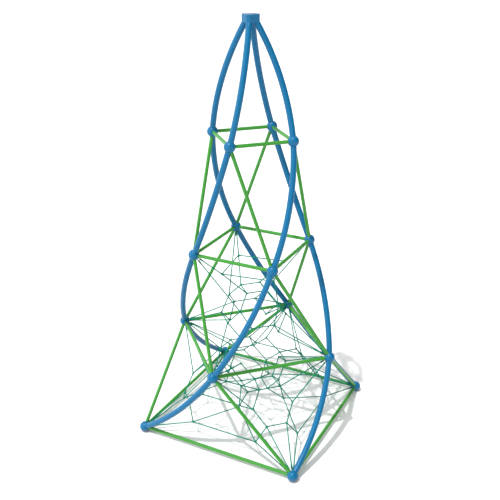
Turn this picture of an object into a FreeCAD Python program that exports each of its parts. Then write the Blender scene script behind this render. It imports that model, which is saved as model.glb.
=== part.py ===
"""Twisted climbing-net tower: four bent posts, four rings of struts and a rope net.

Frame: millimetres, +Z up, origin on the ground at the middle of the tower.
Every ring of the frame is a square that stands over the mid-points of the square below it,
so the whole tower repeats itself every quarter turn about Z.
"""
import FreeCAD, Part
import math
import os
import Sketcher
from FreeCAD import Placement, Rotation, Vector

os.makedirs("parts", exist_ok=True)
doc = FreeCAD.newDocument("net_tower")
UP = Vector(0, 0, 1)
ORIGIN = Vector(0, 0, 0)

# ---------------------------------------------------------------- driving dimensions
DIMENSIONS = [
    ("base_side", 3000.0),            # between neighbouring ground balls
    ("second_ring_rise", 1491.0),     # ball centres above the ground balls' centres
    ("third_ring_rise", 3314.0),
    ("fourth_ring_rise", 5296.0),
    ("hub_rise", 7100.0),             # underside of the hub above the ground balls' centres
    ("ball_diameter", 190.0),
    ("ball_facet_depth", 5.0),        # flat under each ground ball
    ("post_diameter", 101.6),
    ("post_wall", 5.0),
    ("strut_diameter", 60.3),
    ("strut_wall", 3.2),
    ("post_stud_diameter", 36.0),
    ("strut_stud_diameter", 16.0),
    ("stud_depth", 45.0),             # how far a stud goes into its ball
    ("plug_distance", 150.0),         # from a ball's centre to the plug in a tube's end
    ("plug_thickness", 20.0),
    ("cope_gap", 1.0),                # between a strut's end and the post beside it
    ("stud_notch_gap", 3.0),          # round a strut's stud where it passes a post's end
    ("anchor_hole_diameter", 24.0),   # in the underside of each ground ball
    ("anchor_hole_depth", 40.0),
    ("hub_corner_reach", 80.0),       # from the hub's axis to the centre of a rounded corner
    ("hub_corner_radius", 65.0),
    ("hub_thickness", 128.0),
    ("hub_socket_depth", 24.0),
    ("hub_recess_diameter", 136.0),
    ("hub_recess_depth", 62.0),
    ("hub_fit", 0.3),
    ("hub_bolt_diameter", 20.0),
    ("hub_bolt_head", 32.0),
    ("hub_bolt_head_height", 13.0),
    ("cap_diameter", 152.0),
    ("cap_thickness", 6.0),
    ("cap_lip_depth", 8.0),
    ("cap_fit", 0.5),                 # all round the cap and its lip
    ("post_top_reach", 106.5),        # from the hub's axis to a post's centre just below the hub
    ("post_top_drop", 20.7),          # of that point below the hub's underside
    ("rope_diameter", 20.0),
    ("shank_diameter", 16.0),
    ("shank_depth", 20.0),
    ("sleeve_diameter", 30.0),
    ("sleeve_start", 125.0),          # from a ball's centre
    ("sleeve_length", 65.0),
    ("sleeve_floor", 15.0),
    ("clamp_diameter", 64.0),
    ("clamp_rope_gap", 28.5),         # from a knot's centre to the end of each strand in it
    ("clamp_fit", 0.25),
]
sheet = doc.addObject("Spreadsheet::Sheet", "sizes")
for row, (alias, value) in enumerate(DIMENSIONS, start=1):
    sheet.set("A%d" % row, alias)
    sheet.set("B%d" % row, str(value))
    sheet.setAlias("B%d" % row, alias)
doc.recompute()


def size(alias):
    """The number in the sheet's cell of this name."""
    return float(sheet.get(alias))


ball_radius = size("ball_diameter") / 2
post_radius = size("post_diameter") / 2
post_bore = post_radius - size("post_wall")
strut_radius = size("strut_diameter") / 2
strut_bore = strut_radius - size("strut_wall")
rope_radius = size("rope_diameter") / 2
ground_ball_height = ball_radius - size("ball_facet_depth")
hub_underside = ground_ball_height + size("hub_rise")
ring_rises = (0.0, size("second_ring_rise"), size("third_ring_rise"), size("fourth_ring_rise"))


# ---------------------------------------------------------------- places
def polar(radius, degrees, height):
    """A point at this radius and angle about Z, its height measured from the ground."""
    angle = math.radians(degrees)
    return Vector(radius * math.cos(angle), radius * math.sin(angle), height)


def corner(ring, quarter):
    """Centre of a ring's ball; ring runs from 1 at the ground to 4, quarter counts from the front."""
    radius = size("base_side") / math.sqrt(2) ** ring
    first = -45 if ring % 2 else -90
    return polar(radius, first + 90 * quarter, ground_ball_height + ring_rises[ring - 1])


def quarter_turn(quarter):
    """The placement that turns a piece by so many quarters about the tower's axis."""
    return Placement(ORIGIN, Rotation(UP, 90.0 * quarter))


def unit(vector):
    return Vector(vector).normalize()


def rod(start, direction, radius, near, far):
    """A straight round rod on the line from start, between two distances along it."""
    direction = unit(direction)
    return Part.makeCylinder(radius, far - near, start + direction * near, direction)


# ---------------------------------------------------------------- document helpers
subparts = []


def publish(node, feature):
    """Makes this object a sub-part with its own label and file name."""
    feature.Label = node
    subparts.append(feature)
    return feature


def shape_feature(name, shape, placement=None):
    """A Part::Feature that holds a worked-out shape and then gets its place."""
    feature = doc.addObject("Part::Feature", name)
    feature.Shape = shape
    feature.Placement = placement or Placement()
    return feature


def four_turns(shape):
    """The shape and its three copies, a quarter turn apart, as one list of solids."""
    solids = []
    for quarter in range(4):
        turned = shape.copy()
        turned.Placement = quarter_turn(quarter).multiply(shape.Placement)
        solids += turned.Solids
    return solids


def group(node, shapes):
    """A sub-part made of separate identical solids, repeated at every quarter turn."""
    solids = []
    for shape in shapes:
        solids += four_turns(shape)
    return publish(node, shape_feature(node, Part.makeCompound(solids)))


def four_nodes(pattern, shape):
    """Four sub-parts of one shape, a quarter turn apart, numbered from 1."""
    for quarter in range(4):
        node = pattern % (quarter + 1)
        publish(node, shape_feature(node, shape, quarter_turn(quarter)))


# ---------------------------------------------------------------- bent posts
# Each post turns a quarter of a square for every ring it passes. The stretches between balls
# are circular arcs; a bulge is how far the arc's middle stands off its chord, outwards and to
# the side that the tower twists to.
POST_STRETCHES = [
    # name, upper end (ring, quarter), lower end (ring, quarter), outward bulge, side bulge
    ("top", None, (4, 1), 69.4, -82.3),
    ("upper", (4, 1), (3, 0), 54.7, -96.8),
    ("lower", (3, 0), (2, 0), 86.0, -80.3),
    ("base", (2, 0), (1, 3), 47.4, -125.9),
]


def post_top_point():
    """Where the first post's centre line stands just below the hub."""
    height = hub_underside - size("post_top_drop")
    lean = math.degrees(math.atan2(corner(4, 1).y, corner(4, 1).x)) + 12.74
    return polar(size("post_top_reach"), lean, height)


class BentLine:
    """The circular arc of one post stretch, from its upper to its lower end."""

    def __init__(self, upper, lower, outward, sideways):
        chord = unit(lower - upper)
        middle = (upper + lower) * 0.5
        radial = unit(Vector(middle.x, middle.y, 0))
        out = unit(radial - chord * radial.dot(chord))
        side = chord.cross(out)
        bulge = out * outward + side * sideways
        half = (lower - upper).Length / 2
        rise = bulge.Length
        self.radius = (half ** 2 + rise ** 2) / (2 * rise)
        self.centre = middle + unit(bulge) * (rise - self.radius)
        self.axis = unit((upper - self.centre).cross(lower - self.centre))
        self.upper = upper
        self.lower = lower
        self.sweep = math.degrees(2 * math.asin(half / self.radius))

    def point(self, length):
        """The point this far along the arc from its upper end."""
        turn = Rotation(self.axis, math.degrees(length / self.radius))
        return self.centre + turn.multVec(self.upper - self.centre)

    def heading(self, length):
        """The direction of travel there, downwards along the post."""
        return unit(self.axis.cross(self.point(length) - self.centre))

    def length(self):
        return math.radians(self.sweep) * self.radius

    def solid(self, radius, bore, start, finish):
        """A round tube, or a bar if the bore is 0, between two lengths along the arc."""
        centre = self.point(start)
        heading = self.heading(start)
        wires = [Part.Wire(Part.makeCircle(radius, centre, heading))]
        if bore > 0:
            wires.append(Part.Wire(Part.makeCircle(bore, centre, heading)))
        face = Part.Face(wires, "Part::FaceMakerBullseye")
        return face.revolve(self.centre, self.axis, math.degrees((finish - start) / self.radius))


def post_line(name):
    for stretch, upper, lower, outward, sideways in POST_STRETCHES:
        if stretch == name:
            start = corner(*upper) if upper else post_top_point()
            return BentLine(start, corner(*lower), outward, sideways)


post_lines = {stretch[0]: post_line(stretch[0]) for stretch in POST_STRETCHES}
hub_overrun = 60.0      # the top stretch runs on into the hub before it is cut level


def turned(vector, quarters):
    return Rotation(UP, 90.0 * quarters).multVec(vector)


# ---------------------------------------------------------------- struts
# A strut runs between two ball centres. Ring struts join neighbours of one ring; a diagonal
# joins a ball to the ball below it that the post doesn't go to.
STRUTS = {
    "ring_1": ((1, 0), (1, 1)),
    "ring_2": ((2, 0), (2, 1)),
    "ring_3": ((3, 0), (3, 1)),
    "ring_4": ((4, 0), (4, 1)),
    "tier_1": ((2, 0), (1, 0)),
    "tier_2": ((3, 3), (2, 0)),
    "tier_3": ((4, 0), (3, 0)),
}


# ---------------------------------------------------------------- net
# Knots of the net, for the first quarter. The radius is a share of the ground ring's; the
# angle is from that quarter's ground ball; the height is a share of its tier's rise.
# A mirrored knot has a twin at the opposite angle, and the others stand alone.
KNOTS = {
    # name: tier, radius share, angle, height share, mirrored
    "hem": (1, 0.639, 16.8, 0.125, True),
    "heel": (1, 0.620, 8.1, 0.311, True),
    "flank": (1, 0.544, 18.5, 0.484, True),
    "shoulder": (1, 0.441, 11.9, 0.656, True),
    "collar": (1, 0.280, 16.3, 0.659, True),
    "mat": (1, 0.289, 45.0, 0.239, False),
    "hub_knot": (1, 0.132, 45.0, 0.317, False),
    "pillar": (1, 0.241, 45.0, 0.491, False),
    "roof": (1, 0.242, 45.0, 0.824, False),
    "perch": (2, 0.236, 45.0, 0.140, False),
    "waist": (2, 0.276, 20.5, 0.286, True),
    "spire": (2, 0.237, 45.0, 0.430, False),
    "core": (2, 0.120, 45.0, 0.566, False),
    "crown": (2, 0.286, 8.6, 0.785, False),
}
# Strands of the first quarter. A side of +1 or -1 names a mirrored knot's twin, and a quarter
# of 1 means the neighbour's. Balls are named by their ring.
MIRRORED_STRANDS = [
    # from, to, the ring or group that the strand belongs to
    ("ball_1", "hem", "corner_ropes"),
    ("ball_1", "heel", "corner_ropes"),
    ("hem", "heel", "floor_net"),
    ("hem", "mat", "floor_net"),
    ("heel", "flank", "floor_net"),
    ("flank", "ball_2", "hanger_ropes"),
    ("flank", "shoulder", "lower_net"),
    ("shoulder", "ball_2", "hanger_ropes"),
    ("shoulder", "collar", "lower_net"),
    ("collar", "roof", "lower_net"),
    ("collar", "pillar", "lower_net"),
    ("waist", "ball_2", "hanger_ropes"),
    ("waist", "perch", "upper_net"),
    ("waist", "spire", "upper_net"),
]
LONE_STRANDS = [
    # from (knot, side, quarter), to (knot, side, quarter), group
    (("hem", 1, 0), ("hem", -1, 1), "floor_net"),
    (("heel", 1, 0), ("heel", -1, 0), "floor_net"),
    (("flank", 1, 0), ("flank", -1, 1), "lower_net"),
    (("shoulder", 1, 0), ("shoulder", -1, 0), "lower_net"),
    (("collar", 1, 0), ("collar", -1, 0), "lower_net"),
    (("waist", 1, 0), ("waist", -1, 0), "upper_net"),
    (("pillar", 1, 0), ("mat", 1, 0), "floor_net"),
    (("pillar", 1, 0), ("hub_knot", 1, 0), "floor_net"),
    (("mat", 1, 0), ("hub_knot", 1, 0), "floor_net"),
    (("hub_knot", 1, 0), ("hub_knot", 1, 1), "floor_net"),
    (("roof", 1, 0), ("ball_2", 1, 1), "hanger_ropes"),
    (("perch", 1, 0), ("ball_2", 1, 1), "hanger_ropes"),
    (("spire", 1, 0), ("core", 1, 0), "upper_net"),
    (("core", 1, 0), ("core", 1, 1), "upper_net"),
    (("core", 1, 0), ("crown", 1, 0), "upper_net"),
    (("crown", 1, 0), ("crown", 1, 1), "upper_net"),
    (("spire", 1, 0), ("ball_3", 1, 0), "crown_ropes"),
    (("crown", 1, 0), ("ball_3", 1, 0), "crown_ropes"),
]
FIRST_CORNER_ANGLE = -45.0


def anchor_point(name, side, quarter):
    """Centre of a knot or of a ball of the frame."""
    if name.startswith("ball_"):
        return corner(int(name[-1]), quarter)
    tier, share, angle, rise, mirrored = KNOTS[name]
    low = ring_rises[tier - 1]
    high = ring_rises[tier]
    height = ground_ball_height + low + (high - low) * rise
    turn = FIRST_CORNER_ANGLE + 90 * quarter + side * angle
    return polar(share * size("base_side") / math.sqrt(2), turn, height)


def all_strands():
    """Every strand of one quarter as (end, end, group), an end being (name, side, quarter)."""
    strands = list(LONE_STRANDS)
    for start, finish, belongs in MIRRORED_STRANDS:
        for side in (1, -1):
            ends = []
            for name in (start, finish):
                if name == "ball_2":
                    quarter = 1 if side > 0 else 0
                elif name.startswith("ball_") or KNOTS[name][4]:
                    quarter = 0
                else:
                    quarter = 0 if side > 0 else -1
                lone = name.startswith("ball_") or not KNOTS[name][4]
                ends.append((name, 1 if lone else side, quarter))
            strands.append((ends[0], ends[1], belongs))
    return strands


def strand_gap(name):
    """How far a strand's end stays from the centre of what holds it."""
    if name.startswith("ball_"):
        return size("sleeve_start") + size("sleeve_floor")
    return size("clamp_rope_gap")


def strand(start, finish):
    """The straight rope between two ends."""
    first = anchor_point(*start)
    second = anchor_point(*finish)
    span = (second - first).Length
    return rod(first, second - first, rope_radius, strand_gap(start[0]), span - strand_gap(finish[0]))


def directions_from(name, side):
    """Directions of every strand that leaves this knot or ball of quarter 0."""
    here = anchor_point(name, side, 0)
    leaving = []
    for start, finish, belongs in all_strands():
        for near, far in ((start, finish), (finish, start)):
            if near[0] == name and near[1] == side:
                target = turned(anchor_point(*far), -near[2])
                leaving.append(unit(target - here))
    return leaving


# ---------------------------------------------------------------- what meets at a ball
def post_headings(ring):
    """Directions in which the posts leave the ball of quarter 0."""
    leaving = []
    for name, upper, lower, outward, sideways in POST_STRETCHES:
        line = post_lines[name]
        if lower[0] == ring:
            leaving.append(turned(line.heading(line.length()) * -1, -lower[1]))
        if upper and upper[0] == ring:
            leaving.append(turned(line.heading(0), -upper[1]))
    return leaving


def strut_headings(ring):
    """Directions in which the struts leave the ball of quarter 0."""
    leaving = []
    for first, second in STRUTS.values():
        for near, far in ((first, second), (second, first)):
            if near[0] == ring:
                leaving.append(turned(corner(*far) - corner(*near), -near[1]))
    return [unit(heading) for heading in leaving]


def studs_at(ring, quarter, extra=0.0):
    """The threaded studs of this ball, thicker by extra."""
    centre = corner(ring, quarter)
    near = ball_radius - size("stud_depth")
    far = size("plug_distance") + size("plug_thickness")
    studs = []
    for heading in post_headings(ring):
        radius = size("post_stud_diameter") / 2 + extra
        studs.append(rod(centre, turned(heading, quarter), radius, near, far))
    for heading in strut_headings(ring):
        radius = size("strut_stud_diameter") / 2 + extra
        studs.append(rod(centre, turned(heading, quarter), radius, near, far))
    return studs


def shanks_at(ring, quarter, extra=0.0):
    """The shanks of the rope terminals that screw into this ball."""
    if ring == 4:
        return []
    centre = corner(ring, quarter)
    radius = size("shank_diameter") / 2 + extra
    near = ball_radius - size("shank_depth")
    shanks = []
    for heading in directions_from("ball_%d" % ring, 1):
        shanks.append(rod(centre, turned(heading, quarter), radius, near, size("sleeve_start")))
    return shanks


def solid_ball(ring, quarter):
    """A ball to cut with, its poles turned aside so that no tube's end crosses one."""
    ball = Part.makeSphere(ball_radius)
    ball.Placement = Placement(corner(ring, quarter), Rotation(UP, Vector(1, 0.3, 0.2)))
    return ball


# ---------------------------------------------------------------- sub-parts: balls
def make_ball(ring):
    """One cast ball with a threaded hole for each stud and each rope terminal."""
    ball = doc.addObject("Part::Sphere", "ring_%d_sphere" % ring)
    ball.setExpression("Radius", "sizes.ball_diameter / 2")
    ball.Placement = Placement(corner(ring, 0), Rotation())
    cutters = studs_at(ring, 0) + shanks_at(ring, 0)
    if ring == 1:
        low = corner(1, 0) - UP * ground_ball_height
        cutters.append(Part.makeCylinder(ball_radius, 2 * size("ball_facet_depth"), low, UP * -1))
        cutters.append(Part.makeCylinder(size("anchor_hole_diameter") / 2, size("anchor_hole_depth"), low, UP))
    holes = shape_feature("ring_%d_holes" % ring, Part.makeCompound(cutters))
    cast = doc.addObject("Part::Cut", "ring_%d_ball" % ring)
    cast.Base = ball
    cast.Tool = holes
    doc.recompute()
    four_nodes("ball_ring_%d_no_%%d" % ring, cast.Shape.Solids[0])


# ---------------------------------------------------------------- sub-parts: posts
def post_ends(name):
    """Quarter and ring of the balls at a stretch's upper and lower end."""
    for stretch, upper, lower, outward, sideways in POST_STRETCHES:
        if stretch == name:
            return upper, lower


def make_post(name):
    """One bent tube, its ends shaped to the balls or cut level inside the hub."""
    line = post_lines[name]
    upper, lower = post_ends(name)
    start = 0.0 if upper else -hub_overrun
    tube = line.solid(post_radius, post_bore, start, line.length())
    cutters = []
    for end in (upper, lower):
        if end:
            cutters.append(solid_ball(*end))
            cutters += shanks_at(*end, extra=size("cope_gap"))
            cutters += strut_studs_beside_post(end)
    if not upper:
        top = hub_underside + size("hub_socket_depth")
        slab = 4 * size("hub_corner_reach")
        cutters.append(Part.makeBox(2 * slab, 2 * slab, slab, Vector(-slab, -slab, top)))
    four_nodes("post_%%d_%s" % name, tube.cut(cutters).Solids[0])


def strut_studs_beside_post(end):
    """The strut studs of a ball, with the gap that a post's wall leaves round them."""
    centre = corner(*end)
    radius = size("strut_stud_diameter") / 2 + size("stud_notch_gap")
    far = size("plug_distance")
    return [rod(centre, turned(heading, end[1]), radius, ball_radius / 2, far)
            for heading in strut_headings(end[0])]


# ---------------------------------------------------------------- sub-parts: struts
def posts_round(ends, extra):
    """Solid bars as thick as the posts plus a gap, on every post stretch that meets these balls."""
    bars = []
    for name, upper, lower, outward, sideways in POST_STRETCHES:
        for ball in (upper, lower):
            for end in ends:
                if ball and ball[0] == end[0]:
                    line = post_lines[name]
                    bar = line.solid(post_radius + extra, 0, 0, line.length())
                    bar.rotate(ORIGIN, UP, 90.0 * (end[1] - ball[1]))
                    bars.append(bar)
    return bars


def make_struts(name):
    """Four straight tubes, coped to the balls and round the posts beside them."""
    first, second = STRUTS[name]
    run = corner(*second) - corner(*first)
    place = Placement(corner(*first), Rotation(UP, run))
    solids = []
    for label, radius in (("outside", "strut_diameter / 2"), ("bore", "strut_diameter / 2 - sizes.strut_wall")):
        bar = doc.addObject("Part::Cylinder", "%s_%s" % (name, label))
        bar.setExpression("Radius", "sizes." + radius)
        bar.Height = run.Length
        bar.Placement = place
        solids.append(bar)
    tube = doc.addObject("Part::Cut", name + "_tube")
    tube.Base, tube.Tool = solids
    doc.recompute()
    cutters = [solid_ball(*first), solid_ball(*second)]
    cutters += posts_round((first, second), size("cope_gap"))
    for end in (first, second):
        cutters += shanks_at(*end, extra=size("cope_gap"))
    coped = max(tube.Shape.cut(cutters).Solids, key=lambda solid: solid.Volume)
    suffix = "struts" if name.startswith("ring") else "diagonals"
    group("%s_%s" % (name, suffix), [coped])


# ---------------------------------------------------------------- sub-parts: tube-end joints
def make_tube_ends():
    """Studs in the balls, and the welded plugs in the tube ends that screw onto them."""
    near = ball_radius - size("stud_depth")
    plug_near = size("plug_distance")
    plug_far = plug_near + size("plug_thickness")
    post_studs, post_plugs, strut_studs, strut_plugs = [], [], [], []
    for name in post_lines:
        line = post_lines[name]
        upper, lower = post_ends(name)
        for end in (upper, lower):
            if not end:
                continue
            at_upper = end == upper
            outward = line.heading(0) if at_upper else line.heading(line.length()) * -1
            stud = rod(corner(*end), outward, size("post_stud_diameter") / 2, near, plug_far)
            span = (plug_near, plug_far)
            if not at_upper:
                span = (line.length() - plug_far, line.length() - plug_near)
            plug = line.solid(post_bore, 0, *span)
            post_studs.append(stud)
            post_plugs.append(plug.cut(stud))
    for first, second in STRUTS.values():
        for near_end, far_end in ((first, second), (second, first)):
            heading = corner(*far_end) - corner(*near_end)
            stud = rod(corner(*near_end), heading, size("strut_stud_diameter") / 2, near, plug_far)
            plug = rod(corner(*near_end), heading, strut_bore, plug_near, plug_far)
            strut_studs.append(stud)
            strut_plugs.append(plug.cut(stud))
    group("post_studs", post_studs)
    group("post_end_plugs", post_plugs)
    group("strut_studs", strut_studs)
    group("strut_end_plugs", strut_plugs)


# ---------------------------------------------------------------- part design helpers
def origin_plane(body, role):
    return next(plane for plane in body.Origin.OriginFeatures if plane.Role == role)


def circle_sketch(body, name, offset, expression):
    """A sketch of one circle, level and this high above the body's own base plane."""
    sketch = body.newObject("Sketcher::SketchObject", name)
    sketch.AttachmentSupport = [(origin_plane(body, "XY_Plane"), "")]
    sketch.MapMode = "FlatFace"
    if offset:
        sketch.setExpression("AttachmentOffset.Base.z", offset)
    index = sketch.addGeometry(Part.Circle(ORIGIN, UP, 10.0), False)
    sketch.addConstraint(Sketcher.Constraint("Coincident", index, 3, -1, 1))
    sketch.addConstraint(Sketcher.Constraint("Diameter", index, 20.0))
    sketch.setExpression("Constraints[1]", expression)
    return sketch


def pad_on(body, name, sketch, expression):
    pad = body.newObject("PartDesign::Pad", name)
    pad.Profile = sketch
    pad.setExpression("Length", expression)
    doc.recompute()


# ---------------------------------------------------------------- sub-parts: hub
def hub_outline():
    """A square with large rounded corners, each over one of the posts."""
    reach = size("hub_corner_reach")
    radius = size("hub_corner_radius")
    lean = math.degrees(math.atan2(post_top_point().y, post_top_point().x))
    edges = []
    for quarter in range(4):
        angle = lean + 90 * quarter
        centre = polar(reach, angle, 0)
        arc_points = [centre + polar(radius, angle + step, 0) for step in (-45, 0, 45)]
        edges.append(Part.Arc(*arc_points).toShape())
        following = polar(reach, angle + 90, 0) + polar(radius, angle + 45, 0)
        edges.append(Part.makeLine(arc_points[2], following))
    return Part.Face(Part.Wire(edges))


def hub_bolt_line():
    """Start and direction, upwards, of the bolt that draws the first post into its socket."""
    line = post_lines["top"]
    along = 0.0
    while line.point(along).z < hub_underside + size("hub_socket_depth"):
        along -= 0.5
    return line.point(along), line.heading(along) * -1


def make_hub():
    """The cast hub, its four bolts, the plugs in the post tops and the cap over them."""
    thickness = size("hub_thickness")
    top = hub_underside + thickness
    block = hub_outline().extrude(UP * thickness)
    block.translate(UP * hub_underside)
    recess_radius = size("hub_recess_diameter") / 2
    floor = top - size("hub_recess_depth")
    recess = Part.makeCylinder(recess_radius, thickness, UP * floor, UP)
    rebate = Part.makeCylinder(size("cap_diameter") / 2, thickness, UP * (top - size("cap_thickness")), UP)
    level = hub_underside + size("hub_socket_depth")
    slab = 4 * size("hub_corner_reach")
    above = Part.makeBox(2 * slab, 2 * slab, slab, Vector(-slab, -slab, level))
    line = post_lines["top"]
    socket = line.solid(post_radius + size("hub_fit"), 0, -hub_overrun, hub_overrun).cut(above)
    seat, heading = hub_bolt_line()
    bolt_radius = size("hub_bolt_diameter") / 2
    head_radius = size("hub_bolt_head") / 2
    head_from = (floor - seat.z) / heading.z + head_radius * math.tan(heading.getAngle(UP))
    shank = rod(seat, heading, bolt_radius, -1.5 * size("plug_thickness"), head_from)
    head = rod(seat, heading, head_radius, head_from, head_from + size("hub_bolt_head_height"))
    room = rod(seat, heading, head_radius + size("hub_fit"), head_from, 2 * thickness)
    cutters = [recess, rebate] + four_turns(socket) + four_turns(shank) + four_turns(room)
    publish("hub_casting", shape_feature("hub_casting", block.cut(cutters).Solids[0]))
    group("hub_bolts", [shank.fuse(head).removeSplitter()])
    plug = line.solid(post_bore, 0, -hub_overrun, 0).cut(above)
    plug_bottom = Part.makeBox(2 * slab, 2 * slab, slab, Vector(-slab, -slab, hub_underside - slab))
    group("post_top_plugs", [plug.cut([plug_bottom, shank])])


def make_hub_cap():
    """The cap that closes the hub's recess: a disc, flush with the top, over a lip that centres it."""
    body = doc.addObject("PartDesign::Body", "hub_cap_body")
    lip = circle_sketch(body, "lip_outline", "", "sizes.hub_recess_diameter - 2 * sizes.cap_fit")
    pad_on(body, "lip_pad", lip, "sizes.cap_lip_depth")
    disc = circle_sketch(body, "disc_outline", "sizes.cap_lip_depth", "sizes.cap_diameter - 2 * sizes.cap_fit")
    pad_on(body, "disc_pad", disc, "sizes.cap_thickness")
    drop = size("hub_thickness") - size("cap_thickness") - size("cap_lip_depth")
    body.Placement = Placement(UP * (hub_underside + drop), Rotation())
    publish("hub_cap", body)


# ---------------------------------------------------------------- sub-parts: net
def make_terminals(ring):
    """Swaged sleeves that hold the ropes at a ring's balls, each on a threaded shank."""
    centre = corner(ring, 0)
    start = size("sleeve_start")
    finish = start + size("sleeve_length")
    terminals = []
    for heading in directions_from("ball_%d" % ring, 1):
        shank = rod(centre, heading, size("shank_diameter") / 2, ball_radius - size("shank_depth"), start)
        sleeve = rod(centre, heading, size("sleeve_diameter") / 2, start, finish)
        hollow = rod(centre, heading, rope_radius, start + size("sleeve_floor"), finish)
        terminals.append(shank.fuse(sleeve).cut(hollow))
    group("rope_terminals_ring_%d" % ring, terminals)


def make_ropes():
    """Every strand of the net, grouped by the part of the net that it belongs to."""
    groups = {}
    for start, finish, belongs in all_strands():
        groups.setdefault(belongs, []).append(strand(start, finish))
    for belongs in sorted(groups):
        group(belongs, groups[belongs])


def clamp(name, side):
    """A cast clamp round one knot: a ball with a socket for the end of every strand."""
    centre = anchor_point(name, side, 0)
    radius = size("clamp_diameter") / 2
    headings = directions_from(name, side)
    socket_radius = rope_radius + size("clamp_fit")
    sockets = [rod(centre, heading, socket_radius, size("clamp_rope_gap"), 2 * radius)
               for heading in headings]
    ball = Part.makeSphere(radius, ORIGIN)
    ball.Placement = Placement(centre, Rotation(UP, clear_pole(headings)))
    return ball.cut(sockets).Solids[0]


def clear_pole(headings):
    """The direction that stays farthest from every strand, for the pole of a clamp's ball."""
    trials = []
    for longitude in range(5, 365, 20):
        for height in (-0.85, -0.6, -0.35, -0.1, 0.15, 0.4, 0.65, 0.9):
            trials.append(unit(polar(math.sqrt(1 - height ** 2), longitude, height)))
    return max(trials, key=lambda pole: min(1 - abs(pole.dot(heading)) for heading in headings))


def make_clamps(node, tier):
    clamps = []
    for name, (knot_tier, share, angle, rise, mirrored) in KNOTS.items():
        if knot_tier == tier:
            clamps += [clamp(name, side) for side in ((1, -1) if mirrored else (1,))]
    group(node, clamps)


# ---------------------------------------------------------------- build
for ring in (1, 2, 3, 4):
    make_ball(ring)
for stretch in post_lines:
    make_post(stretch)
for strut_name in STRUTS:
    make_struts(strut_name)
make_tube_ends()
make_hub()
make_hub_cap()
for ring in (1, 2, 3):
    make_terminals(ring)
make_ropes()
make_clamps("lower_net_clamps", 1)
make_clamps("upper_net_clamps", 2)

doc.recompute()
for item in doc.Objects:
    if "Invalid" in item.State or "Error" in item.State:
        raise RuntimeError("%s failed: %s" % (item.Label, item.State))
for subpart in subparts:
    if subpart.Shape.isNull() or not subpart.Shape.isValid():
        raise RuntimeError("%s has a bad shape" % subpart.Label)
for subpart in subparts:
    subpart.Shape.exportStep("parts/%s.step" % subpart.Label)
print("%d sub-parts written" % len(subparts))
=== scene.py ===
import bmesh
import bpy
import math
import numpy as np
from mathutils import Matrix, Vector


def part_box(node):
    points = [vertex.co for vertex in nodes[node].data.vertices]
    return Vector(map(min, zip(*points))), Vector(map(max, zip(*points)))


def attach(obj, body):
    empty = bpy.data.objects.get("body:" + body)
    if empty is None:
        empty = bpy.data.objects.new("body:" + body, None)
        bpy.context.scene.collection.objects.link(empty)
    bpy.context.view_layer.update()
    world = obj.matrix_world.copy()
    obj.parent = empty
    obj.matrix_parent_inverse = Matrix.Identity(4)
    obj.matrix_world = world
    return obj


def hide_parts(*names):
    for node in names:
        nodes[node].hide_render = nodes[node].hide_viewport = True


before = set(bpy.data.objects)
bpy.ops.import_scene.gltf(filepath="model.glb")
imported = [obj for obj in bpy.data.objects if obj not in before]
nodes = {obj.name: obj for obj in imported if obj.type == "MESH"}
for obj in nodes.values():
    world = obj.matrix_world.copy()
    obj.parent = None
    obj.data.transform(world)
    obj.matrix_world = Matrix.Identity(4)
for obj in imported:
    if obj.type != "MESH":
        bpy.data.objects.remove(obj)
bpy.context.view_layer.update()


# ---------------------------------------------------------------- balls
# Cast aluminium balls that tie the tower together, drilled and tapped for every tube and rope
# that meets them. They are blasted, primed and powder coated in the same blue as the posts,
# and the lowest four stand on a small machined flat.
def piece(name, mesh, cad_nodes):
    """A finished piece that stands for these CAD nodes."""
    built = bpy.data.objects.new(name, mesh)
    bpy.context.scene.collection.objects.link(built)
    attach(built, "root")
    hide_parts(*cad_nodes)
    return built


def mesh_of(name, bm, sharp=35.0):
    """Closes a bmesh into a smooth-shaded mesh with crisp edges above this angle."""
    bmesh.ops.recalc_face_normals(bm, faces=bm.faces)
    mesh = bpy.data.meshes.new(name)
    bm.to_mesh(mesh)
    bm.free()
    mesh.shade_smooth()
    mesh.set_sharp_from_angle(angle=math.radians(sharp))
    return mesh


def ball_centre(node):
    """The centre of a ball, whose lowest part may have been cut off."""
    low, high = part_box(node)
    return Vector(((low.x + high.x) / 2, (low.y + high.y) / 2, high.z - ball_radius))


whole_ball_low, whole_ball_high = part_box("ball_ring_2_no_1")
ball_radius = (whole_ball_high.z - whole_ball_low.z) / 2
ball_pieces = []
for node in sorted(nodes):
    if node.startswith("ball_ring_"):
        bm = bmesh.new()
        bmesh.ops.create_uvsphere(bm, u_segments=96, v_segments=64, radius=ball_radius)
        bmesh.ops.translate(bm, verts=bm.verts, vec=ball_centre(node))
        floor_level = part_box(node)[0].z
        for vertex in bm.verts:
            vertex.co.z = max(vertex.co.z, floor_level)
        bmesh.ops.remove_doubles(bm, verts=bm.verts, dist=1e-5)
        ball_pieces.append(piece(node + "_cast", mesh_of(node, bm), [node]))


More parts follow.
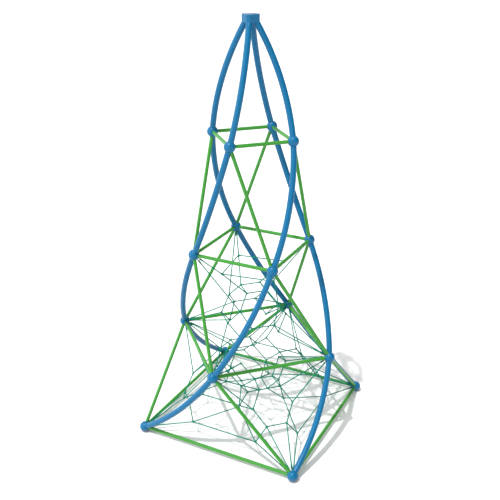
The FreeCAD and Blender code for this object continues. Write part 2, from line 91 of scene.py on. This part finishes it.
# Weathering shared by every painted part: broad fading, fine orange peel from the spray gun,
# small scuffs where hands and shoes rub, and dust that gathers near the ground.
def weathering_group():
    group = bpy.data.node_groups.new("weathering", "ShaderNodeTree")
    group.interface.new_socket("Colour", in_out="INPUT", socket_type="NodeSocketColor")
    group.interface.new_socket("Faded", in_out="INPUT", socket_type="NodeSocketColor")
    group.interface.new_socket("Roughness", in_out="INPUT", socket_type="NodeSocketFloat")
    group.interface.new_socket("Colour", in_out="OUTPUT", socket_type="NodeSocketColor")
    group.interface.new_socket("Roughness", in_out="OUTPUT", socket_type="NodeSocketFloat")
    group.interface.new_socket("Height", in_out="OUTPUT", socket_type="NodeSocketFloat")
    make = group.nodes.new
    link = group.links.new
    given = make("NodeGroupInput")
    result = make("NodeGroupOutput")
    place = make("ShaderNodeTexCoord").outputs["Object"]

    fade = make("ShaderNodeTexNoise")
    fade.inputs["Scale"].default_value = 2.3
    fade.inputs["Detail"].default_value = 3.0
    link(place, fade.inputs["Vector"])
    fade_range = make("ShaderNodeMapRange")
    fade_range.inputs["From Min"].default_value = 0.35
    fade_range.inputs["From Max"].default_value = 0.75
    fade_range.inputs["To Max"].default_value = 0.30
    link(fade.outputs["Fac"], fade_range.inputs["Value"])
    faded = make("ShaderNodeMix")
    faded.data_type = "RGBA"
    link(fade_range.outputs["Result"], faded.inputs["Factor"])
    link(given.outputs["Colour"], faded.inputs["A"])
    link(given.outputs["Faded"], faded.inputs["B"])

    scuff = make("ShaderNodeTexNoise")
    scuff.inputs["Scale"].default_value = 46.0
    scuff.inputs["Detail"].default_value = 6.0
    scuff.inputs["Roughness"].default_value = 0.7
    link(place, scuff.inputs["Vector"])
    scuff_range = make("ShaderNodeMapRange")
    scuff_range.inputs["From Min"].default_value = 0.66
    scuff_range.inputs["From Max"].default_value = 0.74
    scuff_range.inputs["To Max"].default_value = 0.35
    link(scuff.outputs["Fac"], scuff_range.inputs["Value"])
    scuffed = make("ShaderNodeMix")
    scuffed.data_type = "RGBA"
    link(scuff_range.outputs["Result"], scuffed.inputs["Factor"])
    link(faded.outputs["Result"], scuffed.inputs["A"])
    link(given.outputs["Faded"], scuffed.inputs["B"])

    height = make("ShaderNodeSeparateXYZ")
    link(place, height.inputs["Vector"])
    dust_height = make("ShaderNodeMapRange")
    dust_height.inputs["From Min"].default_value = 0.0
    dust_height.inputs["From Max"].default_value = 0.10
    dust_height.inputs["To Min"].default_value = 0.35
    dust_height.inputs["To Max"].default_value = 0.0
    link(height.outputs["Z"], dust_height.inputs["Value"])
    dusty = make("ShaderNodeMix")
    dusty.data_type = "RGBA"
    dusty.inputs["B"].default_value = (0.30, 0.27, 0.22, 1.0)
    link(dust_height.outputs["Result"], dusty.inputs["Factor"])
    link(scuffed.outputs["Result"], dusty.inputs["A"])
    link(dusty.outputs["Result"], result.inputs["Colour"])

    rough = make("ShaderNodeMath")
    rough.operation = "MULTIPLY_ADD"
    rough.inputs[1].default_value = 0.45
    link(scuff_range.outputs["Result"], rough.inputs[0])
    link(given.outputs["Roughness"], rough.inputs[2])
    link(rough.outputs["Value"], result.inputs["Roughness"])

    peel = make("ShaderNodeTexNoise")
    peel.inputs["Scale"].default_value = 420.0
    peel.inputs["Detail"].default_value = 2.0
    link(place, peel.inputs["Vector"])
    link(peel.outputs["Fac"], result.inputs["Height"])
    return group


weathering = weathering_group()


def powder_coat(name, colour, faded, roughness):
    """Sprayed and baked paint with a clear, slightly rippled skin."""
    material = bpy.data.materials.new(name)
    material.use_nodes = True
    tree = material.node_tree
    shader = tree.nodes["Principled BSDF"]
    worn = tree.nodes.new("ShaderNodeGroup")
    worn.node_tree = weathering
    worn.inputs["Colour"].default_value = (*colour, 1.0)
    worn.inputs["Faded"].default_value = (*faded, 1.0)
    worn.inputs["Roughness"].default_value = roughness
    bump = tree.nodes.new("ShaderNodeBump")
    bump.inputs["Strength"].default_value = 0.10
    bump.inputs["Distance"].default_value = 0.0006
    tree.links.new(worn.outputs["Height"], bump.inputs["Height"])
    tree.links.new(worn.outputs["Colour"], shader.inputs["Base Color"])
    tree.links.new(worn.outputs["Roughness"], shader.inputs["Roughness"])
    tree.links.new(bump.outputs["Normal"], shader.inputs["Normal"])
    shader.inputs["Specular IOR Level"].default_value = 0.28
    return material


blue_paint = powder_coat("blue_powder_coat", (0.0006, 0.128, 0.285), (0.002, 0.155, 0.325), 0.27)
for ball in ball_pieces:
    ball.data.materials.append(blue_paint)


# ---------------------------------------------------------------- posts
# Sixteen lengths of round steel tube, bent on a roller to one even radius each and shaped at
# both ends to sit against the balls. They are galvanised, then powder coated blue.
def merged(node):
    """A copy of a CAD node's surface with its doubled points joined."""
    bm = bmesh.new()
    bm.from_mesh(nodes[node].data)
    bmesh.ops.remove_doubles(bm, verts=bm.verts, dist=2e-6)
    return bm


for node in sorted(nodes):
    if node.startswith("post_") and node[5].isdigit():
        tube = piece(node + "_tube", mesh_of(node, merged(node)), [node])
        tube.data.materials.append(blue_paint)


# ---------------------------------------------------------------- struts
# Straight steel tubes in green powder coat: a square of four in each ring, and four leaning
# ones in each storey that brace it. Each slips over a stud of its ball at both ends.
green_paint = powder_coat("green_powder_coat", (0.042, 0.265, 0.030), (0.058, 0.30, 0.042), 0.30)
for node in sorted(nodes):
    if node.endswith("_struts") or node.endswith("_diagonals"):
        tube = piece(node + "_tubes", mesh_of(node, merged(node)), [node])
        tube.data.materials.append(green_paint)


# ---------------------------------------------------------------- joints inside the tubes
# Turned studs and welded end plugs that hold the tubes to the balls. They are bare zinc
# plated steel, closed in by the tubes, and only show where a tube's end stands off its ball.
def bare_metal(name, colour, roughness, grain):
    """Plain metal with fine uneven grain."""
    material = bpy.data.materials.new(name)
    material.use_nodes = True
    tree = material.node_tree
    shader = tree.nodes["Principled BSDF"]
    place = tree.nodes.new("ShaderNodeTexCoord").outputs["Object"]
    noise = tree.nodes.new("ShaderNodeTexNoise")
    noise.inputs["Scale"].default_value = grain
    noise.inputs["Detail"].default_value = 5.0
    tree.links.new(place, noise.inputs["Vector"])
    tint = tree.nodes.new("ShaderNodeMix")
    tint.data_type = "RGBA"
    tint.inputs["A"].default_value = (*colour, 1.0)
    tint.inputs["B"].default_value = (*[0.7 * c for c in colour], 1.0)
    tree.links.new(noise.outputs["Fac"], tint.inputs["Factor"])
    tree.links.new(tint.outputs["Result"], shader.inputs["Base Color"])
    bump = tree.nodes.new("ShaderNodeBump")
    bump.inputs["Strength"].default_value = 0.15
    bump.inputs["Distance"].default_value = 0.0005
    tree.links.new(noise.outputs["Fac"], bump.inputs["Height"])
    tree.links.new(bump.outputs["Normal"], shader.inputs["Normal"])
    shader.inputs["Metallic"].default_value = 1.0
    shader.inputs["Roughness"].default_value = roughness
    return material


zinc = bare_metal("zinc_plate", (0.52, 0.53, 0.54), 0.38, 90.0)
for node in ("post_studs", "post_end_plugs", "post_top_plugs", "strut_studs", "strut_end_plugs"):
    inner = piece(node + "_turned", mesh_of(node, merged(node)), [node])
    inner.data.materials.append(zinc)


# ---------------------------------------------------------------- hub
# One cast block gathers the four posts at the top. Its edges are rounded by the mould, its
# underside has a socket for each post, and a flush cap closes the recess with the bolts.
def flattened(node):
    """A CAD node whose flat faces are joined up, so that each is shaded evenly."""
    bm = merged(node)
    bmesh.ops.dissolve_degenerate(bm, edges=bm.edges, dist=2e-5)
    bmesh.ops.dissolve_limit(bm, angle_limit=math.radians(0.5), verts=bm.verts, edges=bm.edges)
    return bm


def chamfered(bm, width, level):
    """Breaks the crisp edges that lie at this height."""
    edges = [edge for edge in bm.edges if edge.is_manifold
             and edge.calc_face_angle() > math.radians(60)
             and all(abs(vertex.co.z - level) < 1e-4 for vertex in edge.verts)]
    bmesh.ops.bevel(bm, geom=edges, offset=width, segments=1, profile=0.5, affect="EDGES",
                    clamp_overlap=True, material=-1)
    return bm


hub = piece("hub_block", mesh_of("hub_block", flattened("hub_casting")), ["hub_casting"])
hub.data.materials.append(blue_paint)
cap_edge = 0.001
cap_shape = chamfered(flattened("hub_cap"), cap_edge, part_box("hub_cap")[1].z)
cap = piece("hub_cap_disc", mesh_of("hub_cap_disc", cap_shape), ["hub_cap"])
cap.data.materials.append(blue_paint)
bolts = piece("hub_bolts_set", mesh_of("hub_bolts_set", merged("hub_bolts")), ["hub_bolts"])
bolts.data.materials.append(bare_metal("stainless", (0.60, 0.60, 0.60), 0.25, 140.0))


# ---------------------------------------------------------------- rope terminals
# Pressed sleeves on threaded shanks. Each screws into its ball and grips the end of a rope;
# the sleeve is coated in the same dark green as the rope's yarn.
def soft_plastic(name, colour, roughness):
    """Moulded or dipped coating, slightly mottled."""
    material = bpy.data.materials.new(name)
    material.use_nodes = True
    tree = material.node_tree
    shader = tree.nodes["Principled BSDF"]
    worn = tree.nodes.new("ShaderNodeGroup")
    worn.node_tree = weathering
    worn.inputs["Colour"].default_value = (*colour, 1.0)
    worn.inputs["Faded"].default_value = (*[min(1.0, 1.6 * c + 0.01) for c in colour], 1.0)
    worn.inputs["Roughness"].default_value = roughness
    bump = tree.nodes.new("ShaderNodeBump")
    bump.inputs["Strength"].default_value = 0.12
    bump.inputs["Distance"].default_value = 0.0008
    tree.links.new(worn.outputs["Height"], bump.inputs["Height"])
    tree.links.new(worn.outputs["Colour"], shader.inputs["Base Color"])
    tree.links.new(worn.outputs["Roughness"], shader.inputs["Roughness"])
    tree.links.new(bump.outputs["Normal"], shader.inputs["Normal"])
    shader.inputs["Specular IOR Level"].default_value = 0.2
    return material


dipped_green = soft_plastic("dipped_green", (0.002, 0.190, 0.115), 0.5)
for node in sorted(nodes):
    if node.startswith("rope_terminals_"):
        sleeves = piece(node + "_sleeves", mesh_of(node, merged(node)), [node])
        sleeves.data.materials.append(dipped_green)


# ---------------------------------------------------------------- ropes
# Taut six-strand rope, each strand a steel core wound in polyester yarn. The strands lie in a
# right-hand twist, so every rope shows six ridges that spiral along it.
def islands(node):
    """The separate solids of a CAD node, each as an array of its points."""
    bm = merged(node)
    bm.verts.ensure_lookup_table()
    seen, found = set(), []
    for start in bm.verts:
        if start.index in seen:
            continue
        stack, members = [start], []
        seen.add(start.index)
        while stack:
            vertex = stack.pop()
            members.append(vertex.co[:])
            for edge in vertex.link_edges:
                other = edge.other_vert(vertex)
                if other.index not in seen:
                    seen.add(other.index)
                    stack.append(other)
        found.append(np.array(members))
    bm.free()
    return found


def rod_ends(points):
    """Both end centres and the radius of a straight round rod."""
    middle = points.mean(axis=0)
    spread = points - middle
    axis = np.linalg.svd(spread, full_matrices=False)[2][0]
    along = spread @ axis
    off_axis = spread - np.outer(along, axis)
    radius = np.sqrt((off_axis ** 2).sum(axis=1)).max()
    return Vector(middle + axis * along.min()), Vector(middle + axis * along.max()), radius


def skin(bm, rings):
    """Joins rings of as many points each into one skin, closed at both ends."""
    around = len(rings[0])
    for low, high in zip(rings, rings[1:]):
        for index in range(around):
            following = (index + 1) % around
            bm.faces.new((low[index], low[following], high[following], high[index]))
    bm.faces.new(list(reversed(rings[0])))
    bm.faces.new(rings[-1])


def add_laid_rope(bm, start, end, radius, lay=0.15, strands=6, points=4, pitch=0.010):
    """Six round strands in a helix, as one closed skin whose edges follow the ridges."""
    axis = end - start
    length = axis.length
    turn = axis.to_track_quat("Z", "Y").to_matrix()
    steps = max(2, round(length / pitch))
    around = strands * points
    rings = []
    for step in range(steps + 1):
        along = length * step / steps
        ring = []
        for index in range(around):
            lobe = (index % points) / points * 2 * math.pi
            bulge = radius * (0.90 + 0.10 * abs(math.sin(lobe / 2)))
            angle = 2 * math.pi * (index / around + along / lay)
            local = Vector((bulge * math.cos(angle), bulge * math.sin(angle), along))
            ring.append(bm.verts.new(start + turn @ local))
        rings.append(ring)
    skin(bm, rings)


def yarn_material():
    """Dark green polyester yarn, fine fibres running along the strands, a little sun-bleached."""
    material = bpy.data.materials.new("rope_yarn")
    material.use_nodes = True
    tree = material.node_tree
    shader = tree.nodes["Principled BSDF"]
    place = tree.nodes.new("ShaderNodeTexCoord").outputs["Object"]
    fleck = tree.nodes.new("ShaderNodeTexNoise")
    fleck.inputs["Scale"].default_value = 260.0
    fleck.inputs["Detail"].default_value = 4.0
    tree.links.new(place, fleck.inputs["Vector"])
    bleach = tree.nodes.new("ShaderNodeTexNoise")
    bleach.inputs["Scale"].default_value = 3.0
    tree.links.new(place, bleach.inputs["Vector"])
    blend = tree.nodes.new("ShaderNodeMath")
    blend.operation = "MULTIPLY"
    tree.links.new(fleck.outputs["Fac"], blend.inputs[0])
    tree.links.new(bleach.outputs["Fac"], blend.inputs[1])
    ramp = tree.nodes.new("ShaderNodeValToRGB")
    ramp.color_ramp.elements[0].position = 0.10
    ramp.color_ramp.elements[0].color = (0.001, 0.170, 0.110, 1.0)
    ramp.color_ramp.elements[1].position = 0.45
    ramp.color_ramp.elements[1].color = (0.004, 0.260, 0.165, 1.0)
    tree.links.new(blend.outputs["Value"], ramp.inputs["Fac"])
    tree.links.new(ramp.outputs["Color"], shader.inputs["Base Color"])
    bump = tree.nodes.new("ShaderNodeBump")
    bump.inputs["Strength"].default_value = 0.35
    bump.inputs["Distance"].default_value = 0.0006
    tree.links.new(fleck.outputs["Fac"], bump.inputs["Height"])
    tree.links.new(bump.outputs["Normal"], shader.inputs["Normal"])
    shader.inputs["Roughness"].default_value = 0.75
    shader.inputs["Specular IOR Level"].default_value = 0.15
    return material


yarn = yarn_material()
rope_ends = []
for node in ("corner_ropes", "floor_net", "lower_net", "hanger_ropes", "upper_net", "crown_ropes"):
    bm = bmesh.new()
    for points in islands(node):
        start, end, radius = rod_ends(points)
        add_laid_rope(bm, start, end, radius)
        heading = (end - start).normalized()
        rope_ends += [(start, heading), (end, -heading)]
    rope = piece(node + "_laid", mesh_of(node, bm, sharp=80.0), [node])
    rope.data.materials.append(yarn)


# ---------------------------------------------------------------- net clamps
# A clamp at every knot of the net grips the ropes that meet there. It is a small rounded
# casting with a rolled-edge ferrule along each rope, dipped in the same dark green.
def add_ferrule(bm, centre, heading, radius, near, far, around=20):
    """A short sleeve with rolled ends, closed, from near to far along a rope."""
    turn = heading.to_track_quat("Z", "Y").to_matrix()
    lip = 0.0015
    outline = ((near, radius - lip), (near + lip, radius), (far - lip, radius), (far, radius - lip))
    rings = []
    for along, out in outline:
        ring = []
        for index in range(around):
            angle = 2 * math.pi * index / around
            local = Vector((out * math.cos(angle), out * math.sin(angle), along))
            ring.append(bm.verts.new(centre + turn @ local))
        rings.append(ring)
    skin(bm, rings)


knot_radius = 0.018
ferrule_radius = 0.0135
ferrule_start = 0.004
rope_end_margin = 0.003
for node in ("lower_net_clamps", "upper_net_clamps"):
    bm = bmesh.new()
    for points in islands(node):
        low, high = points.min(axis=0), points.max(axis=0)
        centre = Vector((low + high) / 2)
        clamp_reach = (high - low).max() / 2
        bmesh.ops.create_uvsphere(bm, u_segments=24, v_segments=16, radius=knot_radius,
                                  matrix=Matrix.Translation(centre))
        for end, heading in rope_ends:
            if (end - centre).length < clamp_reach + rope_end_margin:
                add_ferrule(bm, centre, heading, ferrule_radius, ferrule_start, clamp_reach)
    clamps = piece(node + "_cast", mesh_of(node, bm, sharp=50.0), [node])
    clamps.data.materials.append(dipped_green)


# ---------------------------------------------------------------- floor
# A plain pale studio floor, wide enough to pass out of every edge of the view.
floor_mesh = bpy.data.meshes.new("studio_floor")
reach = 400.0
floor_corners = [(-reach, -reach, 0), (reach, -reach, 0), (reach, reach, 0), (-reach, reach, 0)]
floor_mesh.from_pydata(floor_corners, [], [(0, 1, 2, 3)])
floor = bpy.data.objects.new("studio_floor", floor_mesh)
bpy.context.scene.collection.objects.link(floor)
floor_paint = bpy.data.materials.new("studio_floor_paint")
floor_paint.use_nodes = True
floor_shader = floor_paint.node_tree.nodes["Principled BSDF"]
floor_shader.inputs["Base Color"].default_value = (0.86, 0.86, 0.86, 1.0)
floor_shader.inputs["Roughness"].default_value = 0.9
floor_shader.inputs["Specular IOR Level"].default_value = 0.0
floor_mesh.materials.append(floor_paint)


# ---------------------------------------------------------------- light
# A white room, brighter on the left, with one lamp high on the front left. It casts soft pale
# shadows to the back right and puts one upright highlight on every tube and ball.
world = bpy.data.worlds.new("white_room")
bpy.context.scene.world = world
world.use_nodes = True
view_turn = 27.772
sky = world.node_tree
sky_place = sky.nodes.new("ShaderNodeTexCoord")
sky_turn = sky.nodes.new("ShaderNodeMapping")
sky_turn.vector_type = "POINT"
sky_turn.inputs["Rotation"].default_value = (0.0, 0.0, math.radians(-view_turn))
sky_parts = sky.nodes.new("ShaderNodeSeparateXYZ")
sky_range = sky.nodes.new("ShaderNodeMapRange")
sky_range.inputs["From Min"].default_value = -1.0
sky_range.inputs["From Max"].default_value = 1.0
sky_range.inputs["To Min"].default_value = 1.80
sky_range.inputs["To Max"].default_value = 0.08
sky.links.new(sky_place.outputs["Generated"], sky_turn.inputs["Vector"])
sky.links.new(sky_turn.outputs["Vector"], sky_parts.inputs["Vector"])
sky.links.new(sky_parts.outputs["X"], sky_range.inputs["Value"])
room = sky.nodes["Background"]
room.inputs["Color"].default_value = (1.0, 1.0, 1.0, 1.0)
sky.links.new(sky_range.outputs["Result"], room.inputs["Strength"])
backdrop = sky.nodes.new("ShaderNodeBackground")
backdrop.inputs["Color"].default_value = (1.0, 1.0, 1.0, 1.0)
sky_choice = sky.nodes.new("ShaderNodeMixShader")
sky.links.new(sky.nodes.new("ShaderNodeLightPath").outputs["Is Camera Ray"], sky_choice.inputs["Fac"])
sky.links.new(room.outputs["Background"], sky_choice.inputs[1])
sky.links.new(backdrop.outputs["Background"], sky_choice.inputs[2])
sky.links.new(sky_choice.outputs["Shader"], sky.nodes["World Output"].inputs["Surface"])

sun = bpy.data.lights.new("key_lamp", "SUN")
sun.energy = 2.3
sun.angle = math.radians(1.1)
key = bpy.data.objects.new("key_lamp", sun)
lamp_left_of_view = 48.0
key_heading = math.radians(view_turn - lamp_left_of_view)
key_height = math.radians(69.5)
toward_lamp = Vector((math.sin(key_heading) * math.cos(key_height),
                      -math.cos(key_heading) * math.cos(key_height), math.sin(key_height)))
key.rotation_euler = toward_lamp.to_track_quat("Z", "Y").to_euler()
bpy.context.scene.collection.objects.link(key)


# ---------------------------------------------------------------- camera
# Stands a little above the top of the tower and looks down on it from twelve metres away.
camera_data = bpy.data.cameras.new("camera")
camera = bpy.data.objects.new("camera", camera_data)
bpy.context.scene.collection.objects.link(camera)
bpy.context.scene.camera = camera
camera_data.sensor_width = 36.0
camera_data.lens = 53.36
camera_distance = 11.943
camera_height = 8.479
pitch_down, yaw, roll = math.radians(23.248), math.radians(-0.250), math.radians(-0.654)
spin = Matrix.Rotation(math.radians(view_turn), 3, "Z")
forward = spin @ Vector((math.sin(yaw) * math.cos(pitch_down), math.cos(yaw) * math.cos(pitch_down),
                         -math.sin(pitch_down)))
level_right = spin @ Vector((math.cos(yaw), -math.sin(yaw), 0.0))
level_up = level_right.cross(forward)
right = math.cos(roll) * level_right + math.sin(roll) * level_up
up = -math.sin(roll) * level_right + math.cos(roll) * level_up
facing = Matrix((right, up, -forward)).transposed()
camera_place = spin @ Vector((0.0, -camera_distance, 0.0)) + Vector((0.0, 0.0, camera_height))
camera.matrix_world = Matrix.Translation(camera_place) @ facing.to_4x4()
camera_data.clip_start = 0.1
camera_data.clip_end = 1000.0
bpy.context.scene.view_settings.view_transform = "Standard"
